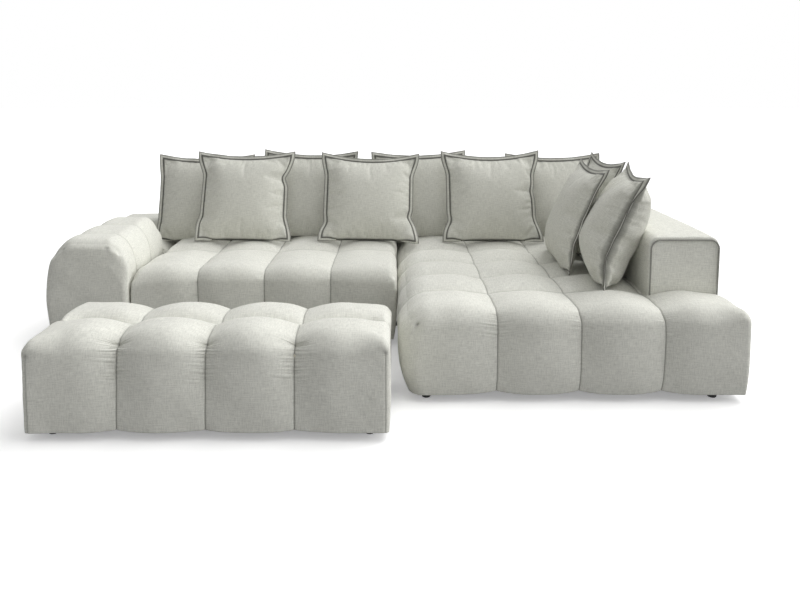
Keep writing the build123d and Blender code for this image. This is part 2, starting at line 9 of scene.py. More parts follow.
import bpy
import numpy as np
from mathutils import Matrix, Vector


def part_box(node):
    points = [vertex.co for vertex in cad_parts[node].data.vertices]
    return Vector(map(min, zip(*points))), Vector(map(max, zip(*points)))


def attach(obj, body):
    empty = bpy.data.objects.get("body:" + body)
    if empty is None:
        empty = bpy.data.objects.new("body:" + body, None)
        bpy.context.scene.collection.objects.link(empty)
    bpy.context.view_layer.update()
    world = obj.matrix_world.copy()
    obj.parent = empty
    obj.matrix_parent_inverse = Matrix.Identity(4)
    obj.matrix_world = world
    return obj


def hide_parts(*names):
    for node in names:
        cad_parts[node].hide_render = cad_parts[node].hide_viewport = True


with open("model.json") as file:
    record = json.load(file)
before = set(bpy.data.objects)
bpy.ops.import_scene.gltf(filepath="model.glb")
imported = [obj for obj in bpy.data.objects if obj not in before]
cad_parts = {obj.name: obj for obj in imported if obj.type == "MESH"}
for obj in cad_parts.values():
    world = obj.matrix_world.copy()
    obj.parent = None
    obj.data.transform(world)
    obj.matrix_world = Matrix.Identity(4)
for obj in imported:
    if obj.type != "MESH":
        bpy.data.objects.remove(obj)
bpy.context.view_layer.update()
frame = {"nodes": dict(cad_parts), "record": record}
scene = bpy.context.scene

# Seams of the tufted pads
LONG_PAD_SEAMS = 3  # column seams of the chaise and of the footstool
CHAISE_FIRST_COLUMN = 0.445
CHAISE_COLUMN = 0.372
CHAISE_FIRST_ROW = 0.345
CHAISE_ROWS = 4
STOOL_FIRST_COLUMN = 0.371
STOOL_COLUMN = 0.356
STOOL_FIRST_ROW = 0.290
SEAT_COLUMNS = 4
SEAT_FIRST_ROW = 0.505
ROW_PITCH = 0.282
ARM_FIRST_ROLL = 0.175
ARM_ROLL = 0.270
ARM_ROLLS = 3

# How the padding stands off the plain forms
STOOL_IN = 0.010  # at its left end
STOOL_UP = 0.008
STOOL_SPREAD = 0.009  # at the foot of its left end
SEAT_IN = 0.006  # at its left end
CHAISE_IN = 0.008  # at its right end
CHAISE_TUCK = 0.036  # at the foot of its left end
CHAISE_TUCK_REACH = 0.30
CHAISE_TUCK_HEIGHT = 0.20
CHAISE_SPREAD = 0.014  # at the foot of its right end
SPREAD_REACH = 0.15
ARM_OUT = 0.008  # at its left side
ARM_TAPER = 0.040  # of its inner flank
ARM_TAPER_START = 0.25  # behind its front
ARM_TAPER_LENGTH = 0.45
ARM_TAIL_TOP = 0.440
ARM_TAIL_OVERLAP = 0.03
BLOCK_IN = 0.016  # the whole block stands this far to the left
BLOCK_CROWN = 0.016
BED_INSET = 0.008  # the chaise is flattened this far inside the block's outline
BED_GAP = 0.001
WELT_BEND = 0.045
WELT_BEND_STEPS = 14
WELT_UPRIGHT_STEPS = 20
WELT_TOP_STEPS = 24
WELT_GAP = 0.01  # between a straight stretch and a bend

# Mesh steps
FINE_STEP = 0.0036
COARSE_STEP = 0.013
SEAM_REACH = 0.055  # fine steps this far from a seam
TIGHT_REACH = 0.16  # from an end, where the front edge may be less rounded

# Soft details of the pads
ROUND_START = 1.3  # of an edge's drop: this far down its rounding starts to differ from the corner's
ROUND_SPAN = 0.8  # and over this much it becomes its own
GROOVE_WIDTH = 0.0027
GROOVE_DEPTH = 0.004
NOSE_REACH = 0.135  # from the front edge, where its seams may be deeper
ROW_FACE_DEPTH = 0.016  # of the row seams where they run down a side
ROW_END_REACH = 0.12  # from an end, where the row seams change to that depth
FOOT_SHARE = 0.45  # of a column seam's depth that is left at the bottom
FOOT_REACH = 0.22
COLUMN_DEPTH = 0.036
COLUMN_CROWN = 2.1  # how sharply the tufts fall to their column seams
CROSSING_SHARE = 0.3  # taken off the depth where two seams cross
FAR = 9.0  # beyond the reach of any seam
PAD_SEAM_AND_SHADE = 0.53  # how dark the seam lines and the painted shade in the corner pits of the pads are beside those of the cushions
PLEAT_PITCH = 0.0145
PLEAT_LENGTH = 0.042
PLEAT_HEIGHT = 0.0115
PLEAT_SLANT = 0.22
PLEAT_BACK = 0.25  # behind the front edge, where the gathers have ended
PLEAT_ENDS = (0.04, 0.05)  # over which they fade at the bottom and the top
PIT_SHARE = 0.6  # of a dimple's depth, the rest being the fold below it
PIT_WIDTH = 0.012
PIT_ABOVE = 0.010
PIT_BELOW = 0.016
FOLD_WIDTH = 0.022
FOLD_ABOVE = 0.020
FOLD_BELOW = 0.09
LUMPS = ((0.0018, 0.22, 0), (0.0003, 0.06, 50))  # height, size and what is added to the seed
LIP = 0.030  # turned-in hem under a pad
HEM_RISE = 0.012
HEM_REACH = 0.09

# Loose cushions
CUSHION_STEP = 0.012
SHEET_RISE = 0.072  # of each sheet before it is filled
CREASE_WIDTH = 0.006
FLANGE = 0.022
FLANGE_STEP = 0.008
FLANGE_WAVE = 0.0035
FLANGE_WAVE_LENGTH = 0.16
FLANGE_WEAVE = 0.004  # of the weave between two points of its section
FLANGE_FOLD = math.radians(80)  # where the cushion rests on it
FLANGE_FOLD_END = 0.82  # share of the half width
FLANGE_FOLD_FADE = 0.25
FLANGE_FACE = [  # share of the flange's width, height in metres, seam mask; the front face mirrors it. The mask is dark at the inner seam line and darkens again from 0.68 outward, for a stitched line and painted shade along the outer edge
    (-0.26, 0.0050, 0.95),
    (0.06, 0.0034, 0.95),
    (0.24, 0.0032, 0.05),
    (0.56, 0.0032, 0.05),
    (0.68, 0.0020, 0.45),
    (0.80, 0.0030, 0.60),
    (0.92, 0.0027, 0.80),
]
# The outer edge, dark in the mask as painted shade
FLANGE_EDGE = (1.0, 0.0, 0.95)
EAR_BEND = 0.010
EAR_TWIST = 0.012
EAR_SHARE = 0.55  # of the half height, over which a side draws in
SIDE_DRAW = 0.034  # how far a side stands in between its ears
TOP_DRAW = 0.034
BOTTOM_SAG = 0.016  # the filled part comes down between the lower ears
PINCH_WIDTH = 0.14  # as a share of the half height
PINCH_REACH = 0.15
PINCH_FOLDS = 9
PINCH_FOLD_SHARE = 0.14  # of the pinch's depth
GATHER_PITCH = 0.09
GATHER_LENGTH = 0.06
GATHER_DEPTH = 0.006
GATHER_START = 0.02  # from the seam, where a gather is at its full depth
GATHER_PATCH = 0.3  # size of the places with stronger gathers
FLARE_SPREAD = 0.06
HEEL_HEIGHT = 0.15
REST_HEIGHT = 0.012  # above its lowest level, where a cushion starts to flatten
REST_SOFTNESS = 0.011
BACK_POSE = (0, 20)  # turn and lean in degrees
SIDE_POSES = {"side_cushion_1": (-99, 21), "side_cushion_2": (-93, 21), "side_cushion_3": (-90, 21)}
FIRST_SEED = 100
FILL_FRAMES = 18
FILLING = {
    "quality": 5,
    "mass": 0.25,
    "air_damping": 3.0,
    "tension_stiffness": 18.0,
    "compression_stiffness": 12.0,
    "shear_stiffness": 6.0,
    "bending_stiffness": 0.5,
    "use_pressure": True,
    "uniform_pressure_force": 4.0,
    "shrink_min": -0.03,
    "vertex_group_mass": "Seam",
}


def graded(places, step):
    """The places, with more between them so that each gap is about step(place)."""
    out = [places[0]]
    for near, far in zip(places, places[1:]):
        line = np.linspace(near, far, 300)
        rate = 1 / step(line)
        count = np.concatenate([[0], np.cumsum((rate[1:] + rate[:-1]) / 2 * np.diff(line))])
        steps = max(1, math.ceil(count[-1]))
        out.extend(np.interp(np.arange(1, steps + 1) / steps * count[-1], count, line))
    return np.array(out)


def step_near(seams, reach):
    """A step rule: fine within reach of any seam, coarse far from them all."""

    def step(line):
        away = np.min([np.abs(line - s) for s in seams], axis=0)
        return FINE_STEP + (COARSE_STEP - FINE_STEP) * np.clip((away - reach) / reach, 0, 1)

    return step


def smooth(value):
    """A soft step from 0 to 1."""
    value = np.clip(value, 0, 1)
    return value * value * (3 - 2 * value)


def bell(value):
    """1 at 0, fading to 0 on both sides."""
    return np.exp(-(value**2))


def unit(rows, tiny=0.0):
    """Each row at a length of 1; tiny keeps rows without a length at 0."""
    return rows / (np.linalg.norm(rows, axis=1, keepdims=True) + tiny)


def run_length(path):
    """The length along a path up to each of its points."""
    return np.concatenate([[0], np.cumsum(np.linalg.norm(np.diff(path, axis=0), axis=1))])


def placed(name, data):
    """A new object in the scene."""
    made = bpy.data.objects.new(name, data)
    scene.collection.objects.link(made)
    return made


class Ripple:
    """A smooth seeded field, about -1 to 1, with features near one size."""

    def __init__(self, seed, size, waves=14):
        rng = np.random.default_rng(seed)
        way = unit(rng.normal(size=(waves, 3)))
        self.way = way * (2 * math.pi / size) * rng.uniform(0.6, 1.4, size=(waves, 1))
        self.phase = rng.uniform(0, 2 * math.pi, size=waves)

    def __call__(self, points):
        return np.sin(points @ self.way.T + self.phase).sum(axis=1) / math.sqrt(len(self.phase))


@dataclass
class Form:
    """Arrays of a mesh: points, quads, flat weave coordinates of each quad's corners, and a seam mask of dark
    seam lines and painted shade.
    """

    points: np.ndarray
    quads: np.ndarray
    coords: np.ndarray
    seam: np.ndarray

    def joined(self, other):
        return Form(
            np.concatenate([self.points, other.points]),
            np.concatenate([self.quads, other.quads + len(self.points)]),
            np.concatenate([self.coords, other.coords]),
            np.concatenate([self.seam, other.seam]),
        )

    def mesh(self, name):
        mesh = bpy.data.meshes.new(name)
        mesh.from_pydata(self.points.tolist(), [], self.quads.tolist())
        layer = mesh.uv_layers.new(name="Weave")
        layer.data.foreach_set("uv", self.coords.astype(np.float32).ravel())
        mask = mesh.attributes.new("seam", "FLOAT", "POINT")
        mask.data.foreach_set("value", self.seam.astype(np.float32))
        mesh.polygons.foreach_set("use_smooth", [True] * len(mesh.polygons))
        mesh.update()
        return mesh

    def object(self, name, material):
        made = placed(name, self.mesh(name))
        made.data.materials.append(material)
        return made


def values_of(items, key, width=1, kind=float):
    """An array of one property of all the vertices, loops or other items of a mesh."""
    values = np.empty(len(items) * width, dtype=kind)
    items.foreach_get(key, values)
    return values.reshape(-1, width) if width > 1 else values


def grid_quads(rows, columns, start=0):
    index = start + np.arange(rows * columns).reshape(rows, columns)
    quads = np.stack([index[:-1, :-1], index[1:, :-1], index[1:, 1:], index[:-1, 1:]], axis=-1)
    return quads.reshape(-1, 4)


# Padded boxes: tufted pads, arm, back and side block


@dataclass
class Side:
    """How the top of a pad meets one of its sides."""

    reach: float  # the rounding starts this far in
    drop: float  # and ends this far down
    fall: float = 0.0  # the whole top comes down by this much towards the side
    fall_reach: float = 0.25
    rear_share: float = 1.0  # of the fall at the pad's rear


@dataclass
class Pad:
    """A padded box: its corners, how its sides are rounded, its seams and its small details."""

    low: tuple
    high: tuple
    left: Side
    right: Side
    front: Side
    rear: Side
    columns: list = field(default_factory=list)
    rows: list = field(default_factory=list)
    corners: tuple = (0.04, 0.04, 0.04, 0.04)  # plan radii: front left, front right, rear left, rear right
    row_depth: float = 0.022
    nose_depth: float = 0.0  # added to the column seams over the front edge
    seam_bow: float = 0.0  # how far the last column seam bows to the right down the front
    undercut: float = 0.020
    scallop: float = 0.010
    row_crown: float = 2.4  # how sharply the tufts fall to their row seams
    pleats: tuple = (0.0, 0.0)  # heights between which the column seams are gathered
    pleat_share: float = 1.0
    dimples: float = 0.0  # depth of the pits at the upper corners
    dimple_level: float = 0.07  # how far under the top they are
    dimple_inset: float = 0.02  # and how far in from the side
    dimple_sides: int = 2  # at both ends, or at the left one alone
    corner_seam: float = 0.0  # how plainly a seam runs down from each pit
    norm: float = 2.0  # 2 rounds an edge to a quarter circle, less makes it flatter
    tight_ends: tuple = (0.0, 0.0)  # how much less the front edge is rounded at the left and right end
    fine_drop: float = 0.10  # fine steps this far down from the top
    uneven: float = 1.0
    faces: str = "front top left right rear"
    seed: int = 1


def shell(pad):
    """Points on the sharp box of a pad, with quads and flat coordinates for the weave."""
    (x0, y0, z0), (x1, y1, z1) = pad.low, pad.high
    xs = graded([x0, *pad.columns, x1], step_near([*pad.columns, x0, x1], SEAM_REACH))
    ys = graded([y0, *pad.rows, y1], step_near([*pad.rows, y0, y1], SEAM_REACH / 2))
    zs = graded([z0 - LIP, z0, z1], step_near([z0, z1], pad.fine_drop))
    depth = y1 - y0
    # Each face: its two lines of places, its points, its flat places in the weave, and whether it is turned
    patches = {
        "front": (xs, zs, lambda a, b: (a, y0 + 0 * a, b), lambda a, b: (a, b), False),
        "rear": (xs, zs, lambda a, b: (a, y1 + 0 * a, b), lambda a, b: (a, z1 + depth + z1 - b), True),
        "top": (xs, ys, lambda a, b: (a, b, z1 + 0 * a), lambda a, b: (a, z1 + b - y0), False),
        "left": (ys, zs, lambda a, b: (x0 + 0 * a, a, b), lambda a, b: (a + 5, b), True),
        "right": (ys, zs, lambda a, b: (x1 + 0 * a, a, b), lambda a, b: (a + 9, b), False),
    }
    points, quads, coords, start = [], [], [], 0
    for name in pad.faces.split():
        first, second, place, flat, turned = patches[name]
        a, b = (v.ravel() for v in np.meshgrid(first, second, indexing="ij"))
        points.append(np.stack(place(a, b), axis=1))
        coords.append(np.stack(flat(a, b), axis=1))
        quad = grid_quads(len(first), len(second), start)
        quads.append(quad[:, ::-1] if turned else quad)
        start += len(a)
    points, quads, coords = np.concatenate(points), np.concatenate(quads), np.concatenate(coords)
    keys = np.round(points * 1e5).astype(np.int64)
    _, first, inverse = np.unique(keys, axis=0, return_index=True, return_inverse=True)
    return points[first], inverse.reshape(-1)[quads], coords[quads]


def nearest_seam(values, seams, low, high):
    """Distance to the nearest seam, half the width of the cell there, and the seam's number."""
    if not seams:
        return np.full(len(values), FAR), np.ones(len(values)), np.zeros(len(values), int)
    seams = np.array(seams)
    edges = np.array([low, *seams, high])
    number = np.abs(values[:, None] - seams[None, :]).argmin(axis=1)
    away = values - seams[number]
    before = (edges[number + 1] - edges[number]) / 2
    after = (edges[number + 2] - edges[number + 1]) / 2
    return away, np.where(away < 0, before, after), number


def rounded(pad, points):
    """The pad's box with rounded edges: places and outward normals."""
    (x0, y0, z0), (x1, y1, z1) = pad.low, pad.high
    x, y, z = points.T
    at_left, at_front = x < (x0 + x1) / 2, y < (y0 + y1) / 2
    drop_x = np.where(at_left, pad.left.drop, pad.right.drop)
    drop_y = np.where(at_front, pad.front.drop, pad.rear.drop)
    front_left, front_right, rear_left, rear_right = pad.corners
    corner = np.where(
        at_front, np.where(at_left, front_left, front_right), np.where(at_left, rear_left, rear_right)
    )
    reach_x = np.where(at_left, pad.left.reach, pad.right.reach)
    reach_y = np.where(at_front, pad.front.reach, pad.rear.reach)
    left_end, right_end = (1 - smooth(away / TIGHT_REACH) for away in (x - x0, x1 - x))
    tight = 1 - pad.tight_ends[0] * left_end - pad.tight_ends[1] * right_end
    drop_y, reach_y = drop_y * tight, reach_y * tight
    rx = corner + (reach_x - corner) * smooth((z - z1 + ROUND_START * drop_x) / (ROUND_SPAN * drop_x))
    ry = corner + (reach_y - corner) * smooth((z - z1 + ROUND_START * drop_y) / (ROUND_SPAN * drop_y))
    ix = np.clip(x, x0 + rx, x1 - rx)
    iy = np.clip(y, y0 + ry, y1 - ry)
    qx, qy = (x - ix) / rx, (y - iy) / ry
    rz = (drop_x * qx**2 + drop_y * qy**2 + 1e-9 * drop_y) / (qx**2 + qy**2 + 1e-9)
    iz = np.minimum(z, z1 - rz)
    qz = (z - iz) / rz
    size = (np.abs(qx) ** pad.norm + np.abs(qy) ** pad.norm + np.abs(qz) ** pad.norm) ** (1 / pad.norm)
    size = np.where(size < 1e-6, 1, size)
    place = np.stack([ix + rx * qx / size, iy + ry * qy / size, iz + rz * qz / size], axis=1)
    return place, unit(np.stack([qx / rx, qy / ry, qz / rz], axis=1), 1e-12)


def pleat_field(pad, along, away, number):
    """Small gathers that run away from a seam on both sides."""
    low, high = pad.pleats
    height = np.zeros(len(along))
    if high <= low:
        return height
    rng = np.random.default_rng(pad.seed)
    count = int((high - low) / PLEAT_PITCH) + 4
    for seam in range(len(pad.columns)):
        for side in (-1, 1):
            here = (number == seam) & (away * side >= 0) & (np.abs(away) < 4 * PLEAT_LENGTH)
            shift, strength = rng.uniform(0, 1), rng.uniform(0.6, 1.1)
            lengths = PLEAT_LENGTH * rng.uniform(0.45, 1.35, count)
            tall = rng.uniform(0.4, 1.2, count)
            reach = np.abs(away[here])
            phase = (along[here] - PLEAT_SLANT * reach - low) / PLEAT_PITCH + shift
            phase = phase + 0.22 * np.sin(2.1 * phase + shift * 9)
            pick = np.clip(np.round(phase).astype(int), 0, count - 1)
            ridge = np.abs(np.cos(math.pi * phase)) ** 0.8 - 0.55
            ends = smooth((along[here] - low) / PLEAT_ENDS[0]) * smooth((high - along[here]) / PLEAT_ENDS[1])
            fade = np.exp(-((reach / lengths[pick]) ** 1.4)) * smooth(reach / 0.004 + 0.3)
            height[here] = PLEAT_HEIGHT * strength * tall[pick] * ridge * ends * fade
    return height * pad.pleat_share


def corner_pits(pad, x, y, z):
    """Pits at the upper front and rear corners with a fold or seam below each: depth, and a mask of the seam
    lines and of painted shade in the pits.
    """
    (x0, y0, z0), (x1, y1, z1) = pad.low, pad.high
    depth, seam = np.zeros(len(x)), np.zeros(len(x))
    for corner_x in [x0, x1][: pad.dimple_sides]:
        for corner_y in (y0, y1):
            from_side, from_face = np.abs(x - corner_x), np.abs(y - corner_y)
            edge = np.abs(from_side - from_face - pad.dimple_inset) + FAR * (from_face > 0.1)
            below = z1 - pad.dimple_level - z
            pit = bell(edge / PIT_WIDTH) * bell(np.minimum(below, 0) / PIT_ABOVE)
            pit *= np.exp(-np.clip(below, 0, 1) / PIT_BELOW)
            fold = bell(edge / FOLD_WIDTH) * bell(np.minimum(below, 0) / FOLD_ABOVE)
            fold *= np.exp(-np.clip(below, 0, 1) / FOLD_BELOW)
            line = bell(edge / GROOVE_WIDTH) * smooth(below / 0.02 + 0.5) * pad.corner_seam
            depth += pad.dimples * (PIT_SHARE * pit + (1 - PIT_SHARE) * fold) + GROOVE_DEPTH * line
            # The mask takes each seam line and painted shade in each pit
            seam = np.maximum(seam, np.maximum(line, 0.9 * pit))
    return depth, seam


def padded_form(pad):
    """The soft form of a pad."""
    points, quads, coords = shell(pad)
    (x0, y0, z0), (x1, y1, z1) = pad.low, pad.high
    hem = np.clip((z0 - points[:, 2]) / LIP, 0, 1)
    box = points.copy()
    box[:, 2] = np.maximum(box[:, 2], z0)
    x, y, z = box.T
    place, normal = rounded(pad, box)
    off_x = np.sqrt(normal[:, 1] ** 2 + normal[:, 2] ** 2)  # 0 where the surface looks along X
    off_y = np.sqrt(normal[:, 0] ** 2 + normal[:, 2] ** 2)
    upward = np.clip(normal[:, 2], 0, 1)

    # Tufts: the fabric is pulled in along the seams
    column_away, column_half, column = nearest_seam(x, pad.columns, x0, x1)
    row_away, row_half, _ = nearest_seam(y, pad.rows, y0, y1)
    column_pull = np.clip(1 - np.abs(column_away) / column_half, 0, 1) ** COLUMN_CROWN
    column_pull *= smooth(off_x * 1.6)
    row_pull = np.clip(1 - np.abs(row_away) / row_half, 0, 1) ** pad.row_crown
    row_pull *= smooth(off_y * 1.6)
    column_depth = COLUMN_DEPTH * (FOOT_SHARE + (1 - FOOT_SHARE) * smooth((z - z0) / FOOT_REACH))
    column_depth += pad.nose_depth * bell((z1 - z + y - y0) / NOSE_REACH)
    row_face = min(pad.row_depth, ROW_FACE_DEPTH)
    from_end = np.minimum(x - x0, x1 - x)
    row_depth = row_face + (pad.row_depth - row_face) * upward * smooth(from_end / ROW_END_REACH)
    pull = column_depth * column_pull + row_depth * row_pull
    pull -= CROSSING_SHARE * (COLUMN_DEPTH + row_depth) * column_pull * row_pull
    on_columns, on_rows = smooth(off_x * 3 - 1.5), smooth(off_y * 3 - 1.5)
    column_groove, row_groove = bell(column_away / GROOVE_WIDTH), bell(row_away / GROOVE_WIDTH)
    groove = np.maximum(column_groove * on_columns, row_groove * on_rows)
    pull += GROOVE_DEPTH * groove

    # Gathers beside the column seams, over the front edge
    along = z + np.where(z > z1 - 1e-6, (y - y0), 0)
    near_front = smooth((y0 + PLEAT_BACK - y) / 0.1)
    pull -= pleat_field(pad, along, column_away, column) * near_front * on_columns
    # Pits at the upper corners, with painted shade in them through the seam mask
    if pad.dimples:
        depth, line = corner_pits(pad, x, y, z)
        pull += depth
        groove = np.maximum(groove, line)

    # Nothing hand-made is quite even
    for height, size, seed in LUMPS:
        pull += pad.uneven * height * Ripple(pad.seed + seed, size)(place)
    place = place - normal * pull[:, None]

    # The column seams bow down the front, more from one to the next
    level = np.clip((z - z0) / (z1 - z0), 0, 1)
    bow = pad.seam_bow * (column + 1) / (len(pad.columns) + 1e-9) * 4 * level * (1 - level)
    place[:, 0] += bow * column_pull * np.clip(-normal[:, 1], 0, 1)

    # The top comes down towards the free ends
    high_up = smooth((z - z0) / (z1 - z0))
    for side, away in ((pad.left, x - x0), (pad.right, x1 - x), (pad.front, y - y0), (pad.rear, y1 - y)):
        rearward = 1 + (side.rear_share - 1) * smooth((y - y0) / (y1 - y0))
        place[:, 2] -= side.fall * rearward * np.clip(1 - away / side.fall_reach, 0, 1) ** 2 * high_up

    # Faces stand in at the bottom, and the hem turns under
    waist = (z0 + z1) / 2
    under = np.clip((waist - z) / (waist - z0), 0, 1) ** 2 * pad.undercut
    flat = normal.copy()
    flat[:, 2] = 0
    place -= unit(flat, 1e-9) * (under + hem * LIP)[:, None]
    low_down = smooth((z0 + HEM_REACH - z) / HEM_REACH)
    place[:, 2] += low_down * pad.scallop * np.maximum(column_pull, row_pull) + HEM_RISE * hem**2
    return Form(place, quads, coords, PAD_SEAM_AND_SHADE * groove)


# Materials


class Wires:
    """Short calls for joining shader nodes."""

    def __init__(self, tree):
        self.tree = tree

    def node(self, kind, inputs=None, **settings):
        made = self.tree.nodes.new(kind)
        for key, value in settings.items():
            setattr(made, key, value)
        self.fill(made, inputs or {})
        return made

    def fill(self, node, inputs):
        for key, value in inputs.items():
            self.feed(node.inputs[key], value)

    def feed(self, socket, value):
        if isinstance(value, bpy.types.NodeSocket):
            self.tree.links.new(value, socket)
        else:
            socket.default_value = value

    def math(self, operation, first, second=0.0):
        return self.node("ShaderNodeMath", {0: first, 1: second}, operation=operation).outputs[0]

    def noise(self, vector, scale, detail=2.0):
        made = self.node("ShaderNodeTexNoise", {"Vector": vector, "Scale": scale, "Detail": detail})
        return made.outputs["Fac"]

    def stretched(self, vector, size):
        made = self.node("ShaderNodeVectorMath", {0: vector, 1: size}, operation="MULTIPLY")
        return made.outputs[0]

    def mixed(self, share, first, second):
        made = self.node("ShaderNodeMix", {0: share, 6: first, 7: second}, data_type="RGBA")
        return made.outputs[2]


def weave_group():
    """Linen-look plain weave in metres: a tint and a height."""
    tree = bpy.data.node_groups.new("Linen weave", "ShaderNodeTree")
    tree.interface.new_socket("Place", in_out="INPUT", socket_type="NodeSocketVector")
    tree.interface.new_socket("Threads", in_out="INPUT", socket_type="NodeSocketFloat")
    for label in ("Tint", "Height"):
        tree.interface.new_socket(label, in_out="OUTPUT", socket_type="NodeSocketFloat")
    source, sink = tree.nodes.new("NodeGroupInput"), tree.nodes.new("NodeGroupOutput")
    w = Wires(tree)
    place = source.outputs["Place"]
    wander = w.node("ShaderNodeTexNoise", {"Vector": place, "Scale": 60.0, "Detail": 1.0})
    bend = w.stretched(wander.outputs["Color"], (0.0012, 0.0012, 0))
    bent = w.node("ShaderNodeVectorMath", {0: place, 1: bend}, operation="ADD").outputs[0]
    split = w.node("ShaderNodeSeparateXYZ", {0: bent})
    turn = w.math("MULTIPLY", source.outputs["Threads"], math.pi)
    warp = w.math("SINE", w.math("MULTIPLY", split.outputs[0], turn))
    weft = w.math("SINE", w.math("MULTIPLY", split.outputs[1], turn))
    over = w.math("GREATER_THAN", w.math("MULTIPLY", warp, weft), 0.0)
    warp, weft = w.math("ABSOLUTE", warp), w.math("ABSOLUTE", weft)
    woven = w.node("ShaderNodeMix", {0: over, 2: warp, 3: weft}).outputs[0]
    slub_a = w.noise(w.stretched(place, (26.0, 230.0, 1.0)), 1.0, 3.0)
    slub_b = w.noise(w.stretched(place, (230.0, 30.0, 1.0)), 1.0, 3.0)
    fleck = w.noise(place, 240.0, 2.0)
    cloud = w.noise(place, 16.0, 3.0)
    slubs = w.math("ADD", slub_a, slub_b)
    tint = w.math("ADD", w.math("MULTIPLY", slubs, 0.48), w.math("MULTIPLY", fleck, 0.28))
    tint = w.math("ADD", tint, w.math("MULTIPLY", cloud, 0.08))
    tint = w.math("ADD", w.math("MULTIPLY", woven, 0.14), w.math("SUBTRACT", tint, 0.10))
    w.fill(sink, {"Tint": tint, "Height": w.math("ADD", woven, w.math("MULTIPLY", slubs, 0.9))})
    return tree


WEAVE = weave_group()
# Colour of the seam mask: dark seam lines, and painted shade in the corner pits, along the flange's outer
# edge and on the piping
SEAM_AND_SHADE_COLOUR = (0.05, 0.05, 0.043, 1.0)
SEAM_AND_SHADE_STRENGTH = 0.9


def blank(name):
    """A new material with its wires and its Principled shader."""
    material = bpy.data.materials.new(name)
    material.use_nodes = True
    return material, Wires(material.node_tree), material.node_tree.nodes["Principled BSDF"]


def fabric(name, dark, light, threads):
    """Matte woven cloth that darkens where its seam mask is set: dark seam lines and painted shade."""
    material, w, shader = blank(name)
    place = w.node("ShaderNodeUVMap", uv_map="Weave").outputs[0]
    weave = w.node("ShaderNodeGroup", node_tree=WEAVE)
    w.fill(weave, {"Place": place, "Threads": threads})
    colour = w.mixed(weave.outputs["Tint"], dark, light)
    seam = w.node("ShaderNodeAttribute", attribute_name="seam").outputs["Fac"]
    colour = w.mixed(w.math("MULTIPLY", seam, SEAM_AND_SHADE_STRENGTH), colour, SEAM_AND_SHADE_COLOUR)
    bump = w.node("ShaderNodeBump", {"Strength": 0.35, "Distance": 0.0006, "Height": weave.outputs["Height"]})
    w.fill(shader, {"Base Color": colour, "Roughness": 0.92, "Specular IOR Level": 0.25})
    w.fill(shader, {"Sheen Weight": 0.18, "Sheen Roughness": 0.5, "Normal": bump.outputs[0]})
    return material


def plain(name, dark, light, stretch, roughness, bump_depth, metal=0.0):
    """A solid material whose colour and surface vary along stretched noise."""
    material, w, shader = blank(name)
    place = w.node("ShaderNodeTexCoord").outputs["Object"]
    grain = w.noise(w.stretched(place, stretch), 1.0, 4.0)
    bump = w.node("ShaderNodeBump", {"Strength": 0.5, "Distance": bump_depth, "Height": grain})
    w.fill(shader, {"Base Color": w.mixed(grain, dark, light), "Normal": bump.outputs[0]})
    w.fill(shader, {"Roughness": roughness, "Metallic": metal})
    return material


UPHOLSTERY = fabric("Upholstery linen", (0.28, 0.28, 0.245, 1.0), (0.96, 0.96, 0.885, 1.0), 520.0)
CUSHION_CLOTH = fabric("Cushion linen", (0.26, 0.26, 0.222, 1.0), (0.85, 0.85, 0.775, 1.0), 560.0)

# Pieces that keep their solids: two colours, the grain's stretch, roughness, depth of the surface, metal
SOLID = {
    "feet": plain(
        "Black plastic", (0.008, 0.008, 0.009, 1), (0.016, 0.016, 0.017, 1), (400, 400, 400), 0.48, 0.0002
    ),
    "timber": plain("Sawn softwood", (0.50, 0.33, 0.17, 1), (0.72, 0.55, 0.34, 1), (6, 90, 90), 0.7, 0.0006),
    "foam": plain("Seat foam", (0.80, 0.76, 0.60, 1), (0.88, 0.85, 0.72, 1), (500, 500, 500), 0.95, 0.001),
    "webbing": plain(
        "Elastic webbing", (0.03, 0.03, 0.032, 1), (0.09, 0.09, 0.095, 1), (700, 60, 60), 0.85, 0.0005
    ),
    "base_cloth": plain(
        "Base cloth", (0.010, 0.010, 0.011, 1), (0.03, 0.03, 0.032, 1), (300, 300, 300), 0.95, 0.0004
    ),
    "steel": plain(
        "Zinc plate", (0.45, 0.45, 0.46, 1), (0.62, 0.62, 0.62, 1), (120, 120, 120), 0.35, 0.0001, 1.0
    ),
}
for subpart in frame["record"]["subparts"]:
    material = SOLID.get(subpart["material_slot"])
    if material:
        mesh = frame["nodes"][subpart["node"]].data
        mesh.materials.clear()
        mesh.materials.append(material)


def dress(form, name, node, material, body):
    """Stand a soft form in for its CAD node."""
    made = form.object(name, material)
    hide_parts(node)
    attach(made, body)


def upholster(form, module, body="sofa"):
    """Stand a padded form in for the cover of a module."""
    dress(form, f"{module}_upholstery", f"{module}_cover", UPHOLSTERY, body)


# Upholstered pads
NOSE = Side(0.10, 0.10)
PLAIN = Side(0.02, 0.02)
STOOL_END = Side(0.045, 0.040, fall=0.050, fall_reach=0.30, rear_share=0.2)


def box_of(node):
    """The low and high corner of a CAD node."""
    return tuple(np.array(corner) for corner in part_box(node))


def low_end(form, end, reach, bottom, top):
    """1 at the bottom of one end of a form, fading over its reach along X and up to its top."""
    x, _, z = form.points.T
    return np.clip(1 - np.abs(x - end) / reach, 0, 1) * np.clip((top - z) / (top - bottom), 0, 1)


stool_low, stool_high = box_of("stool_cover")
seat_low, seat_high = box_of("seat_cover")
chaise_low, chaise_high = box_of("chaise_cover")
arm_low, arm_high = box_of("arm_cover")
block_low, block_high = box_of("side_block_cover")
seat_pitch = (seat_high[0] - seat_low[0]) / SEAT_COLUMNS
arm_rear = arm_low[1] + ARM_FIRST_ROLL + ARM_ROLL * (ARM_ROLLS - 1)

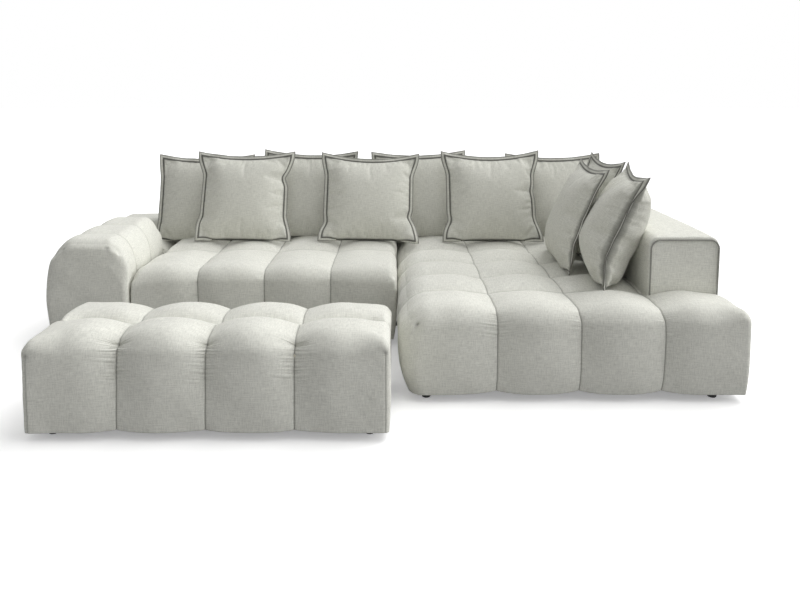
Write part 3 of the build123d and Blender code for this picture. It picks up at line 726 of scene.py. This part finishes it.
stool = padded_form(
    Pad(
        stool_low + (STOOL_IN, 0, 0), stool_high + (0, 0, STOOL_UP),
        STOOL_END, Side(0.035, 0.035, fall=0.035, fall_reach=0.26),
        NOSE, Side(0.085, 0.085, fall=0.044, fall_reach=0.5),
        columns=[stool_low[0] + STOOL_FIRST_COLUMN + STOOL_COLUMN * i for i in range(LONG_PAD_SEAMS)],
        rows=[stool_low[1] + STOOL_FIRST_ROW],
        corners=(0.025, 0.025, 0.025, 0.025), row_depth=0.080, row_crown=3.2, nose_depth=0.045,
        pleats=(0.22, 0.52), undercut=0.004, scallop=0.006,
        dimples=0.007, dimple_level=0.060, dimple_inset=0.020, corner_seam=0.8,
        tight_ends=(0.65, 0.7), fine_drop=0.21, seed=11,
    )
)
# Its left end spreads a little towards the floor
stool.points[:, 0] -= STOOL_SPREAD * low_end(stool, stool_low[0], SPREAD_REACH, stool_low[2], stool_high[2])
seat = padded_form(
    Pad(
        seat_low + (SEAT_IN, 0, 0), seat_high,
        Side(0.045, 0.045, fall=0.035, fall_reach=0.26), Side(0.05, 0.05, fall=0.02, fall_reach=0.2),
        NOSE, PLAIN,
        columns=[seat_low[0] + seat_pitch * i for i in range(1, SEAT_COLUMNS)],
        rows=[seat_low[1] + SEAT_FIRST_ROW],
        corners=(0.012, 0.02, 0.02, 0.02), row_depth=0.026, seed=12, faces="front top left right",
    )
)
chaise = padded_form(
    Pad(
        chaise_low, chaise_high - (CHAISE_IN, 0, 0),
        Side(0.15, 0.13, fall=0.03, fall_reach=0.3), Side(0.045, 0.04, fall=0.03, fall_reach=0.26),
        NOSE, PLAIN,
        columns=[chaise_low[0] + CHAISE_FIRST_COLUMN + CHAISE_COLUMN * i for i in range(LONG_PAD_SEAMS)],
        rows=[chaise_low[1] + CHAISE_FIRST_ROW + ROW_PITCH * i for i in range(CHAISE_ROWS)],
        corners=(0.10, 0.025, 0.04, 0.04), row_depth=0.034, pleats=(0.27, 0.50), pleat_share=0.45,
        fine_drop=0.15, tight_ends=(0.0, 0.65), undercut=0.014, seam_bow=0.015,
        dimples=0.014, dimple_level=0.066, dimple_inset=0.075, dimple_sides=1, scallop=0.014, seed=13,
        faces="front top left right",
    )
)
# Its left end draws in towards the floor, and the right one spreads
tuck_top = chaise_low[2] + CHAISE_TUCK_HEIGHT
tuck = low_end(chaise, chaise_low[0], CHAISE_TUCK_REACH, chaise_low[2], tuck_top) ** 2
chaise.points[:, 0] += CHAISE_TUCK * tuck
spread = low_end(chaise, chaise_high[0], SPREAD_REACH, chaise_low[2], chaise_high[2])
chaise.points[:, 0] += CHAISE_SPREAD * spread
# The side block stands in a shallow bed
plan = chaise.points[:, :2]
inside = np.all((plan > block_low[:2] + BED_INSET) & (plan < block_high[:2] - BED_INSET), axis=1)
chaise.points[inside, 2] = np.minimum(chaise.points[inside, 2], block_low[2] - BED_GAP)
rolls = padded_form(
    Pad(
        arm_low - (ARM_OUT, 0, 0), (arm_high[0], arm_rear, arm_high[2]),
        Side(0.16, 0.29), Side(0.12, 0.20), Side(0.06, 0.05, fall=0.018, fall_reach=0.14), Side(0.08, 0.09),
        rows=[arm_low[1] + ARM_FIRST_ROLL + ARM_ROLL * i for i in range(ARM_ROLLS - 1)],
        corners=(0.03, 0.03, 0.04, 0.04), row_depth=0.017,
        dimples=0.006, dimple_level=0.035, dimple_inset=0.10,
        scallop=0.004, norm=1.95, seed=14,
    )
)
# The inner flank of the rolls draws back from the seat towards the rear
arm_middle, arm_half = (arm_low[0] + arm_high[0]) / 2, (arm_high[0] - arm_low[0]) / 2
inner = np.clip((rolls.points[:, 0] - arm_middle) / arm_half, 0, 1)
rearward = smooth((rolls.points[:, 1] - arm_low[1] - ARM_TAPER_START) / ARM_TAPER_LENGTH)
rolls.points[:, 0] -= ARM_TAPER * inner * rearward
arm = rolls.joined(
    padded_form(
        Pad(
            (arm_low[0], arm_rear - ARM_TAIL_OVERLAP, arm_low[2]), (arm_high[0], arm_high[1], ARM_TAIL_TOP),
            Side(0.10, 0.12), Side(0.15, 0.16), PLAIN, PLAIN, seed=15,
        )
    )
)
upholster(stool, "stool", "footstool")
upholster(seat, "seat")
upholster(chaise, "chaise")
upholster(arm, "arm")

# Low back and side block
ROUND = Side(0.045, 0.045)
for side, seed in (("left", 21), ("right", 22)):
    back = Pad(*box_of(f"{side}_back_cover"), ROUND, ROUND, ROUND, ROUND, seed=seed)
    upholster(padded_form(back), f"{side}_back")
side_block = padded_form(
    Pad(
        block_low - (BLOCK_IN, 0, 0), block_high - (BLOCK_IN, 0, 0), ROUND, ROUND, Side(0.008, 0.008), ROUND,
        corners=(0.008, 0.008, 0.04, 0.04), undercut=0.0, scallop=0.0, uneven=0.6, seed=23,
    )
)
block_share = (side_block.points - block_low + (BLOCK_IN, 0, 0)) / (block_high - block_low)
across, along, up = np.clip(block_share, 0, 1).T
block_swell = (1 - np.abs(2 * across - 1) ** 4) * (4 * along * (1 - along)) ** 0.5
side_block.points[:, 2] += BLOCK_CROWN * smooth(up) * block_swell
upholster(side_block, "side_block")


def tube(path, radius, sides=10):
    """A round cord along open path points."""
    along = unit(np.gradient(path, axis=0))
    first = unit(np.cross(along, (0.0, 1.0, 0.0)))
    second = np.cross(along, first)
    angle = np.linspace(0, 2 * math.pi, sides + 1)
    ring = np.cos(angle)[None, :, None] * first[:, None] + np.sin(angle)[None, :, None] * second[:, None]
    points = (path[:, None] + radius * ring).reshape(-1, 3)
    flat = np.stack(np.meshgrid(run_length(path), angle * radius, indexing="ij"), axis=-1).reshape(-1, 2)
    quads = grid_quads(len(path), sides + 1)
    # The seam mask darkens the whole cord: a dark seam line, and painted shade standing for the shade along
    # its sides
    return Form(points, quads, flat[quads], np.full(len(points), 0.7))


welt_low, welt_high = (corner - (BLOCK_IN, 0, 0) for corner in box_of("side_block_welt"))
WELT = (welt_high[1] - welt_low[1]) / 2
bend = np.radians(np.linspace(0, 90, WELT_BEND_STEPS))
left_x, right_x = welt_low[0] + WELT, welt_high[0] - WELT
top_z, bottom_z = welt_high[2] - WELT, block_low[2] + WELT
bend_x, bend_z = (left_x + WELT_BEND, right_x - WELT_BEND), top_z - WELT_BEND
upright = np.linspace(bottom_z, bend_z - WELT_GAP, WELT_UPRIGHT_STEPS)
level = np.linspace(bend_x[0] + WELT_GAP, bend_x[1] - WELT_GAP, WELT_TOP_STEPS)
welt_xz = np.concatenate(
    [
        np.stack([np.full(len(upright), left_x), upright], axis=1),
        np.stack([bend_x[0] - WELT_BEND * np.cos(bend), bend_z + WELT_BEND * np.sin(bend)], axis=1),
        np.stack([level, np.full(len(level), top_z)], axis=1),
        np.stack([bend_x[1] + WELT_BEND * np.sin(bend), bend_z + WELT_BEND * np.cos(bend)], axis=1),
        np.stack([np.full(len(upright), right_x), upright[::-1]], axis=1),
    ]
)
welt_path = np.insert(welt_xz, 1, (welt_low[1] + welt_high[1]) / 2, axis=1)
welt = tube(welt_path, WELT).object("side_block_piping", UPHOLSTERY)
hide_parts("side_block_welt")
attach(welt, "sofa")

# Loose cushions: two sheets sewn round their edge, filled by simulated pressure, with a flat flange


def about_z(angle):
    """The matrix of a turn about the vertical."""
    c, s = math.cos(angle), math.sin(angle)
    return np.array([[c, -s, 0], [s, c, 0], [0, 0, 1]])


@dataclass
class Habit:
    """How a cushion has settled: its depth before and behind the seam, and how its edges and ears lie."""

    front: float
    rear: float
    pinches: tuple = ()  # side, height as a share of the half height, depth
    draw: tuple = (1.0, 1.0)  # how much its left and right edges stand in
    tuck: float = 0.0  # how far its lower left ear is drawn in
    sink: float = 0.0  # how far its top has come down
    sit: float = 0.0  # how deep it presses into the seat
    fullness: float = 0.85  # below 1 the filling stands steep at the seam
    slump: tuple = (0.12, 0.12)  # how much thicker the filling is low down, before and behind the seam
    heel: float = 0.0  # how far its lower end stands under it instead of slanting on
    flare: tuple = (0.0, 0.0)  # how far its lower left and right ears stand forward
    roll: float = 0.0  # degrees in its own plane
    turn: float = 0.0  # degrees about the vertical
    shift: float = 0.0  # along X


FRONT_ROW = {"front": 0.088, "rear": 0.055}
EVEN_FLARE = (0.028, 0.028)
REAR_ROW = {"front": 0.068, "rear": 0.075, "slump": (0.35, 0.12)}
HABITS = {
    "front_cushion_1": Habit(
        pinches=((1, 0.42, 0.018),), draw=(1.1, 1.0), tuck=0.030, sink=0.006, roll=-0.6,
        flare=EVEN_FLARE, **FRONT_ROW,
    ),
    "front_cushion_2": Habit(
        pinches=((-1, -0.66, 0.012), (1, -0.50, 0.012)), draw=(0.6, 1.1), sink=0.018, roll=-1.0,
        flare=(0.028, 0.090), **FRONT_ROW,
    ),
    "front_cushion_3": Habit(pinches=((-1, -0.62, 0.010), (1, 0.10, 0.008)), flare=EVEN_FLARE, **FRONT_ROW),
    "rear_cushion_1": Habit(draw=(0.45, 1.0), sit=0.036, roll=0.6, shift=-0.014, **REAR_ROW),
    "rear_cushion_2": Habit(pinches=((1, 0.30, 0.012),), sink=-0.008, sit=0.018, roll=-2.0, **REAR_ROW),
    "rear_cushion_3": Habit(pinches=((-1, -0.10, 0.012),), sink=-0.004, sit=0.018, roll=1.0, **REAR_ROW),
    "rear_cushion_4": Habit(pinches=((1, 0.05, 0.012),), sink=0.010, sit=0.018, **REAR_ROW),
    "side_cushion_1": Habit(
        0.125, 0.150, ((-1, -0.05, 0.012), (1, -0.15, 0.012)),
        fullness=0.6, slump=(0.22, 0.0), heel=0.05, turn=-4.0, shift=-0.022,
    ),
    "side_cushion_2": Habit(0.095, 0.062, ((-1, 0.10, 0.012), (1, 0.0, 0.016)), fullness=0.65, heel=0.03),
    "side_cushion_3": Habit(0.060, 0.070),
}


class Cushion:
    """One cushion in its own frame: X along its width, Z along its height, Y through its filling."""

    def __init__(self, node, seed):
        self.node = node
        self.seed = seed
        self.habit = HABITS[node]
        turn, lean = map(math.radians, SIDE_POSES.get(node, BACK_POSE))
        c, s = math.cos(lean), math.sin(lean)
        self.pose = about_z(turn) @ np.array([[1, 0, 0], [0, c, s], [0, -s, c]])
        corners = values_of(frame["nodes"][node].data.vertices, "co", 3)
        self.floor = corners[:, 2].min() - self.habit.sit
        own = corners @ self.pose
        self.middle = self.pose @ ((own.min(axis=0) + own.max(axis=0)) / 2)
        self.middle += (self.habit.shift, 0, -self.habit.sit)
        self.pose = about_z(math.radians(self.habit.turn)) @ self.pose
        size = own.max(axis=0) - own.min(axis=0)
        self.half_width, self.half_height = size[0] / 2 - FLANGE, size[2] / 2 - FLANGE
        rng = np.random.default_rng(seed)
        self.left_draw, self.right_draw, self.top_draw = rng.uniform(0.8, 1.2, 3) * (*self.habit.draw, 1.0)
        self.twist, self.ears = rng.uniform(-EAR_TWIST, EAR_TWIST), rng.uniform(-1, 1, 4)

    def plan(self, u, v):
        """Flat places for shares of the half width and half height."""
        flank = smooth((1 - np.abs(v)) / EAR_SHARE)
        draw = np.where(u < 0, self.left_draw, self.right_draw) * SIDE_DRAW * flank
        draw = draw + self.habit.tuck * (u < 0) * smooth((-v - 0.6) / 0.4)
        for side, level, depth in self.habit.pinches:
            draw = draw + depth * (u * side > 0) * bell((v - level) / PINCH_WIDTH)
        top = self.top_draw * TOP_DRAW * (1 - u**2)
        sag = BOTTOM_SAG * smooth((0.9 - np.abs(u)) / 0.3)
        return u * (self.half_width - draw), v * (self.half_height + np.where(v > 0, -top, sag))

    def body(self):
        """The two sheets, a little under their full thickness."""
        columns = round(2 * self.half_width / CUSHION_STEP)
        rows = round(2 * self.half_height / CUSHION_STEP)
        u, v = np.meshgrid(np.linspace(-1, 1, columns + 1), np.linspace(-1, 1, rows + 1), indexing="ij")
        u, v = u.ravel(), v.ravel()
        x, z = self.plan(u, v)
        half = SHEET_RISE * ((1 - np.abs(u) ** 2.2) * (1 - np.abs(v) ** 2.2)) ** 0.7
        ring = (np.abs(u) > 1 - 1e-9) | (np.abs(v) > 1 - 1e-9)
        near = np.stack([x, -half, z], axis=1)
        far = np.stack([x, half, z], axis=1)
        rear_index = np.where(ring, np.arange(len(u)), len(u) + np.cumsum(~ring) - 1)
        quads = grid_quads(columns + 1, rows + 1)
        flat = np.stack([u * self.half_width, v * self.half_height], axis=1)
        edge = np.minimum((1 - np.abs(u)) * self.half_width, (1 - np.abs(v)) * self.half_height)
        crease = 0.75 * bell(edge / CREASE_WIDTH)
        return Form(
            np.concatenate([near, far[~ring]]),
            np.concatenate([quads, rear_index[quads][:, ::-1]]),
            np.concatenate([flat[quads], flat[quads][:, ::-1] + 3.0]),
            np.concatenate([crease, crease[~ring]]),
        ), np.flatnonzero(ring)

    def flange(self):
        """The flat strip round the seam, mitred at the ears and folded under where the cushion rests."""
        wide = np.linspace(-1, 1, round(2 * self.half_width / FLANGE_STEP) + 1)
        tall = np.linspace(-1, 1, round(2 * self.half_height / FLANGE_STEP) + 1)
        edges = [
            (wide, -np.ones_like(wide)),
            (np.ones_like(tall), tall),
            (wide[::-1], np.ones_like(wide)),
            (-np.ones_like(tall), tall[::-1]),
        ]
        places, outward, shares = [], [], []
        for u, v in edges:
            place = np.stack(self.plan(u, v), axis=1)
            along = unit(np.gradient(place, axis=0))
            places.append(place)
            outward.append(np.stack([along[:, 1], -along[:, 0]], axis=1))
            shares.append(np.stack([u, v], axis=1))
        for number in range(len(edges)):
            first, second = outward[number - 1][-1], outward[number][0]
            mitre = (first + second) / (1 + first @ second)
            outward[number - 1][-1] = outward[number][0] = mitre
        place = np.concatenate([p[:-1] for p in places])
        outward = np.concatenate([o[:-1] for o in outward])
        share = np.concatenate([s[:-1] for s in shares])
        place, outward, share = (np.concatenate([a, a[:1]]) for a in (place, outward, share))
        path = np.stack([place[:, 0], 0 * place[:, 0], place[:, 1]], axis=1)
        wave = FLANGE_WAVE * Ripple(self.seed + 70, FLANGE_WAVE_LENGTH)(path)
        wave += EAR_BEND * sum(
            ear * np.exp(-((share[:, 0] - a) ** 2 + (share[:, 1] - b) ** 2) / 0.03)
            for ear, a, b in zip(self.ears, (-1, 1, -1, 1), (-1, -1, 1, 1))
        )
        inward = smooth((FLANGE_FOLD_END - np.abs(share[:, 0])) / FLANGE_FOLD_FADE)
        fold = FLANGE_FOLD * inward * (share[:, 1] < -0.99)
        front_face = [(part, -height, mask) for part, height, mask in FLANGE_FACE]
        section = np.array([*front_face, FLANGE_EDGE, *FLANGE_FACE[::-1]])
        reach = section[:, 0][None, :] * FLANGE
        lift = section[:, 1][None, :] + wave[:, None] * np.clip(section[:, 0], 0, 1)[None, :]
        out = reach * np.cos(fold)[:, None] + lift * np.sin(fold)[:, None]
        back = reach * np.sin(fold)[:, None] + lift * np.cos(fold)[:, None]
        points = np.stack(
            [place[:, :1] + outward[:, :1] * out, back, place[:, 1:] + outward[:, 1:] * out], axis=-1
        ).reshape(-1, 3)
        across = np.cumsum(np.full(len(section), FLANGE_WEAVE))
        flat = np.stack(np.meshgrid(run_length(place) + 6, across, indexing="ij"), axis=-1)
        quads = grid_quads(len(place), len(section))[:, ::-1]
        return Form(points, quads, flat.reshape(-1, 2)[quads], np.tile(section[:, 2], len(place)))

    def gathers(self, x, sheet, z):
        """Short creases that run in from the seam, on both sheets."""
        edge_x = self.plan(np.where(x < 0, -1, 1), np.clip(z / self.half_height, -1, 1))[0]
        edge_z = self.plan(np.clip(x / self.half_width, -1, 1), np.where(z < 0, -1, 1))[1]
        total = 0
        for number, (edge, across, along) in enumerate(((edge_x, x, z), (edge_z, z, x))):
            away = np.abs(edge) - np.abs(across)
            spots = np.stack([along, across / 4, np.sign(sheet)], axis=1)
            folds = Ripple(self.seed + 30 + number, GATHER_PITCH)(spots)
            crease = np.clip(1 - np.abs(folds), 0, 1) ** 2
            total = total + crease * bell(away / GATHER_LENGTH) * smooth(away / GATHER_START)
        strong = 0.5 + 0.5 * Ripple(self.seed + 40, GATHER_PATCH)(np.stack([x, np.sign(sheet), z], axis=1))
        return -np.sign(sheet) * GATHER_DEPTH * total * np.clip(strong, 0, 1)

    def finished(self, body):
        """Body and flange at their place on the sofa."""
        habit = self.habit
        x, sheet, z = body.points.T
        share = np.where(sheet < 0, sheet / sheet.min(), sheet / sheet.max()) ** habit.fullness
        share = share * (1 - np.where(sheet < 0, *habit.slump) * z / self.half_height)
        sheet[:] = np.where(sheet < 0, -habit.front, habit.rear) * share
        for side, level, depth in habit.pinches:
            away_x, away_z = x - side * self.half_width, z - level * self.half_height
            folds = np.cos(PINCH_FOLDS * np.arctan2(away_z, -side * away_x) + self.seed)
            near = np.exp(-((away_x**2 + away_z**2) / PINCH_REACH**2))
            sheet += PINCH_FOLD_SHARE * depth * share * folds * near
        sheet += self.gathers(x, sheet, z)
        whole = body.joined(self.flange())
        x, z = whole.points[:, 0] / self.half_width, whole.points[:, 2] / self.half_height
        whole.points[:, 1] += self.twist * x * z
        from_ear = (np.abs(x) - 1) ** 2 + (z + 1) ** 2
        forward = np.where(x < 0, *habit.flare) * np.exp(-from_ear / FLARE_SPREAD)
        whole.points[:, 2] -= habit.sink * (z + 1) / 2
        below = np.clip(HEEL_HEIGHT - self.half_height - whole.points[:, 2], 0, None)
        whole.points[:, 1] += habit.heel * (below / HEEL_HEIGHT) ** 1.3
        rolled = about_z(math.radians(habit.roll))[:2, :2]
        whole.points[:, ::2] = whole.points[:, ::2] @ rolled.T
        whole.points = whole.points @ self.pose.T + self.middle
        whole.points[:, 1] -= forward
        # It flattens where it comes down on the seat
        rest = self.floor + REST_HEIGHT
        low = whole.points[:, 2] < rest
        press = rest - whole.points[low, 2]
        whole.points[low, 2] = rest - REST_SOFTNESS * np.tanh(press / REST_SOFTNESS)
        return whole


def filled(forms, rings):
    """The sheets blown up by simulated pressure with their seams held, one subdivision finer."""
    objects = []
    for number, (form, ring) in enumerate(zip(forms, rings)):
        blown = form.object(f"filling {number}", CUSHION_CLOTH)
        blown.vertex_groups.new(name="Seam").add(ring.tolist(), 1.0, "REPLACE")
        cloth = blown.modifiers.new("Filling", "CLOTH")
        for key, value in FILLING.items():
            setattr(cloth.settings, key, value)
        cloth.settings.effector_weights.gravity = 0.0
        cloth.point_cache.frame_end = FILL_FRAMES
        blown.modifiers.new("Finer", "SUBSURF").levels = 1
        objects.append(blown)
    for step in range(1, FILL_FRAMES + 1):
        scene.frame_set(step)
    graph = bpy.context.evaluated_depsgraph_get()
    results = []
    for blown in objects:
        mesh = bpy.data.meshes.new_from_object(blown.evaluated_get(graph))
        points = values_of(mesh.vertices, "co", 3)
        quads = values_of(mesh.loops, "vertex_index", kind=np.int64).reshape(-1, 4)
        coords = values_of(mesh.uv_layers["Weave"].data, "uv", 2).reshape(-1, 4, 2)
        results.append(Form(points, quads, coords, values_of(mesh.attributes["seam"].data, "value")))
        bpy.data.meshes.remove(mesh)
        bpy.data.objects.remove(blown)
    scene.frame_set(1)
    return results


cushion_nodes = sorted(n for n in frame["nodes"] if "cushion_" in n)
cushions = [Cushion(node, FIRST_SEED + number) for number, node in enumerate(cushion_nodes)]
sewn, rings = zip(*[c.body() for c in cushions])
for cushion, body in zip(cushions, filled(sewn, rings)):
    name = cushion.node.replace("cushion", "pillow")
    dress(cushion.finished(body), name, cushion.node, CUSHION_CLOTH, cushion.node)

# Floor, light and camera


def seen_directly(w):
    """1 for rays from the camera, mirrors and clear things, 0 for rays that carry light."""
    path = w.node("ShaderNodeLightPath").outputs
    straight = w.math("MAXIMUM", path["Is Camera Ray"], path["Is Glossy Ray"])
    return w.math("MAXIMUM", straight, path["Is Transmission Ray"])


FLOOR = 60.0
FLOOR_SEEN, FLOOR_LIT = 0.97, 0.3  # its grey as it is seen, and as it throws light back
FLOOR_GLOW = 0.3  # where it is seen
WORLD_LIGHT = 0.44
CAMERA_DOWN = 6  # degrees
floor_mesh = bpy.data.meshes.new("floor")
floor_mesh.from_pydata(
    [(-FLOOR, -FLOOR, 0), (FLOOR, -FLOOR, 0), (FLOOR, FLOOR, 0), (-FLOOR, FLOOR, 0)], [], [(0, 1, 2, 3)]
)
floor = placed("floor", floor_mesh)
floor_paint, w, floor_shader = blank("Pale floor")
floor_colour = w.mixed(seen_directly(w), (*[FLOOR_LIT] * 3, 1), (*[FLOOR_SEEN] * 3, 1))
w.fill(floor_shader, {"Base Color": floor_colour, "Roughness": 0.9, "Emission Color": (1, 1, 1, 1)})
w.feed(floor_shader.inputs["Emission Strength"], w.math("MULTIPLY", seen_directly(w), FLOOR_GLOW))
floor_mesh.materials.append(floor_paint)

# The world is white where it is seen and dimmer as a light
world = bpy.data.worlds.new("Studio")
scene.world = world
world.use_nodes = True
w = Wires(world.node_tree)
background = world.node_tree.nodes["Background"]
added = w.math("MULTIPLY", seen_directly(w), 1 - WORLD_LIGHT)
w.fill(background, {"Color": (1, 1, 1, 1), "Strength": w.math("ADD", WORLD_LIGHT, added)})


def light_object(name, kind, power, toward):
    """A lamp that shines from the direction toward."""
    light = bpy.data.lights.new(name, kind)
    light.energy = power
    made = placed(name, light)
    made.rotation_euler = Vector(toward).to_track_quat("Z", "Y").to_euler()
    return made


overhead = light_object("Overhead light", "SUN", 1.6, (0.55, 0.35, 1.0))
overhead.data.angle = math.radians(40)
side_light = light_object("Right light", "SUN", 1.3, (1.0, -0.22, 0.36))
side_light.data.angle = math.radians(35)
SOFTBOX, SOFTBOX_AIM = Vector((1.2, -1.4, 3.2)), Vector((0.1, 0.0, 0.3))
softbox = light_object("Front softbox", "AREA", 12.0, SOFTBOX - SOFTBOX_AIM)
softbox.location = SOFTBOX
softbox.data.size = 2.4

camera_data = bpy.data.cameras.new("Camera")
camera = placed("Camera", camera_data)
camera.location = (0.1462, -3.6142, 1.380)
camera.rotation_euler = (math.radians(90 - CAMERA_DOWN), 0, 0)
camera_data.sensor_width = 36
camera_data.lens = 30.046
camera_data.shift_x = 0.00705
camera_data.shift_y = -0.1693
camera_data.clip_end = 200
scene.camera = camera
scene.view_settings.view_transform = "Standard"
